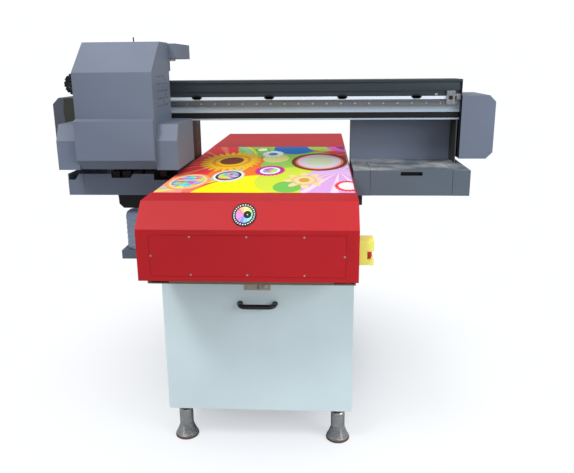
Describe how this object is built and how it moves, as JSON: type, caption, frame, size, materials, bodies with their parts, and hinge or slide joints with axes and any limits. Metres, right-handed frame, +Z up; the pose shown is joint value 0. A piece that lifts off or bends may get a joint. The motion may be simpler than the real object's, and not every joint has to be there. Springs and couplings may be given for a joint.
{
  "type": "flatbed uv printer",
  "caption": "Free-standing flatbed UV printer: red base on a cabinet with bell feet, fixed vacuum table, moving gantry with lifting beam, printhead carriage, side boxes and an emergency stop.",
  "frame": {"origin": "centre of the bounding box's footprint, on the floor", "axes": "+Z up, +Y from the operator's end to the back, +X to the operator's right"},
  "size_m": [1.9079, 2.1012, 1.538],
  "materials": {
    "cabinet_paint": "light blue-grey powder coat, satin",
    "frame_paint": "tan-brown powder coat on steel tube",
    "red_paint": "glossy red powder coat on folded sheet",
    "housing_paint": "blue-grey fine-texture powder coat",
    "hood_paint": "dark slate powder coat",
    "black_paint": "black powder coat",
    "black_plastic": "matt black moulded plastic",
    "screw_steel": "zinc-plated and ground steel",
    "rail_steel": "ground rail steel",
    "chrome": "bright chrome plate",
    "aluminium": "satin anodised aluminium",
    "motor_black": "black motor enamel",
    "belt": "white polyurethane toothed belt",
    "print": "printed board, glossy UV ink",
    "badge_print": "printed colour wheel under clear dome",
    "estop_yellow": "yellow moulded plastic",
    "estop_red": "red moulded plastic",
    "lock_plate": "beige-plated die casting",
    "bottle_plastic": "translucent polyethylene",
    "bracket_grey": "grey powder coat",
    "pump_paint": "cast aluminium, bare",
    "psu_metal": "pressed aluminium case"
  },
  "bodies": {
    "base": {"cabinet_shell": "cabinet_paint", "base_frame": "frame_paint", "front_cover": "red_paint", "access_panel": "red_paint", "panel_screws": "screw_steel", "badge": "badge_print", "rear_cover": "red_paint", "side_panels": "red_paint", "vacuum_table": "aluminium", "print_sheet": "print", "y_rails": "rail_steel", "y_motor": "motor_black", "power_supply": "psu_metal", "vacuum_pump": "pump_paint", "mains_inlet": "black_plastic", "estop_box": "estop_yellow"},
    "table_screw": {"y_screw": "screw_steel"},
    "foot_front_left": {"levelling_foot_front_left": "chrome"},
    "foot_front_right": {"levelling_foot_front_right": "chrome"},
    "foot_rear_left": {"levelling_foot_rear_left": "chrome"},
    "foot_rear_right": {"levelling_foot_rear_right": "chrome"},
    "stop_button": {"estop_button": "estop_red"},
    "door": {"cabinet_door": "cabinet_paint", "door_handle": "black_plastic", "latch_plate": "lock_plate"},
    "lever": {"latch_lever": "lock_plate"},
    "lock_button": {"latch_button": "lock_plate"},
    "gantry": {"gantry_legs": "frame_paint", "y_bearings": "rail_steel", "z_rails": "rail_steel", "lift_motors": "motor_black"},
    "lift_screw_l": {"lift_screw_left": "screw_steel"},
    "lift_screw_r": {"lift_screw_right": "screw_steel"},
    "beam": {"x_beam": "aluminium", "beam_hood": "hood_paint", "x_rail": "rail_steel", "end_cover_left": "housing_paint", "end_cover_right": "housing_paint", "end_plate": "black_paint", "idler_bracket": "chrome", "x_motor": "motor_black", "x_belt": "belt", "right_box": "housing_paint", "left_box": "housing_paint", "side_walls": "housing_paint", "z_blocks": "black_paint", "capping_station": "black_plastic", "waste_bottle": "bottle_plastic", "bottle_bracket": "bracket_grey"},
    "lid": {"right_box_lid": "housing_paint"},
    "left_door": {"left_box_door": "housing_paint"},
    "idler": {"idler_pulley": "screw_steel"},
    "drive": {"drive_pulley": "screw_steel"},
    "carriage": {"carriage_plate": "aluminium", "carriage_cover": "housing_paint", "lamp_covers": "housing_paint", "print_heads": "black_plastic", "uv_lamps": "aluminium", "chain_arm": "housing_paint"},
    "chain": {"cable_chain": "black_plastic"}
  },
  "joints": [
    {"name": "gantry_travel", "type": "slide", "parent": "base", "child": "gantry", "axis": [0, 1, 0], "range_m": [-0.4, 0.7]},
    {"name": "table_screw_turn", "type": "hinge", "parent": "base", "child": "table_screw", "pos_m": [0.235, 0, 0.823], "axis": [0, 1, 0], "range_deg": [-7201, 12601]},
    {"name": "beam_lift", "type": "slide", "parent": "gantry", "child": "beam", "axis": [0, 0, 1], "range_m": [0, 0.1]},
    {"name": "lift_screw_left_turn", "type": "hinge", "parent": "gantry", "child": "lift_screw_l", "pos_m": [-0.395, 0.005, 1], "axis": [0, 0, 1], "range_deg": [-1, 7201]},
    {"name": "lift_screw_right_turn", "type": "hinge", "parent": "gantry", "child": "lift_screw_r", "pos_m": [0.395, 0.005, 1], "axis": [0, 0, 1], "range_deg": [-1, 7201]},
    {"name": "carriage_travel", "type": "slide", "parent": "beam", "child": "carriage", "axis": [1, 0, 0], "range_m": [0, 0.9]},
    {"name": "chain_roll", "type": "slide", "parent": "beam", "child": "chain", "axis": [1, 0, 0], "range_m": [0, 0.451]},
    {"name": "idler_turn", "type": "hinge", "parent": "beam", "child": "idler", "pos_m": [0.77, -0.16, 1.29], "axis": [0, 0, 1], "range_deg": [-1, 2981.71]},
    {"name": "drive_turn", "type": "hinge", "parent": "beam", "child": "drive", "pos_m": [-0.87, -0.16, 1.29], "axis": [0, 0, 1], "range_deg": [-1, 2981.71]},
    {"name": "lid_hinge", "type": "hinge", "parent": "beam", "child": "lid", "pos_m": [0.596, -0.106, 1.007], "axis": [1, 0, 0], "range_deg": [-65, 0]},
    {"name": "left_door_hinge", "type": "hinge", "parent": "beam", "child": "left_door", "pos_m": [-0.56, -0.36, 0.904], "axis": [1, 0, 0], "range_deg": [0, 90]},
    {"name": "cabinet_door_hinge", "type": "hinge", "parent": "base", "child": "door", "pos_m": [0, -0.767, 0.158], "axis": [1, 0, 0], "range_deg": [0, 90]},
    {"name": "latch_lever_hinge", "type": "hinge", "parent": "door", "child": "lever", "pos_m": [-0.035, -0.78, 0.6515], "axis": [0, 0, -1], "range_deg": [0, 60]},
    {"name": "latch_button_push", "type": "slide", "parent": "door", "child": "lock_button", "axis": [0, 1, 0], "range_m": [0, 0.003], "stiffness_N_per_m": 800},
    {"name": "stop_button_push", "type": "slide", "parent": "base", "child": "stop_button", "axis": [-1, 0, 0], "range_m": [0, 0.004], "stiffness_N_per_m": 2000},
    {"name": "foot_front_left_level", "type": "slide", "parent": "base", "child": "foot_front_left", "axis": [0, 0, 1], "range_m": [-0.02, 0]},
    {"name": "foot_front_right_level", "type": "slide", "parent": "base", "child": "foot_front_right", "axis": [0, 0, 1], "range_m": [-0.02, 0]},
    {"name": "foot_rear_left_level", "type": "slide", "parent": "base", "child": "foot_rear_left", "axis": [0, 0, 1], "range_m": [-0.02, 0]},
    {"name": "foot_rear_right_level", "type": "slide", "parent": "base", "child": "foot_rear_right", "axis": [0, 0, 1], "range_m": [-0.02, 0]}
  ],
  "couplings": [
    {"joint": "table_screw_turn", "follows": "gantry_travel", "rad_per_m": 314.16},
    {"joint": "lift_screw_left_turn", "follows": "beam_lift", "rad_per_m": 1256.6},
    {"joint": "lift_screw_right_turn", "follows": "beam_lift", "rad_per_m": 1256.6},
    {"joint": "chain_roll", "follows": "carriage_travel", "ratio": 0.5},
    {"joint": "idler_turn", "follows": "carriage_travel", "rad_per_m": 57.803},
    {"joint": "drive_turn", "follows": "carriage_travel", "rad_per_m": 57.803}
  ]
}
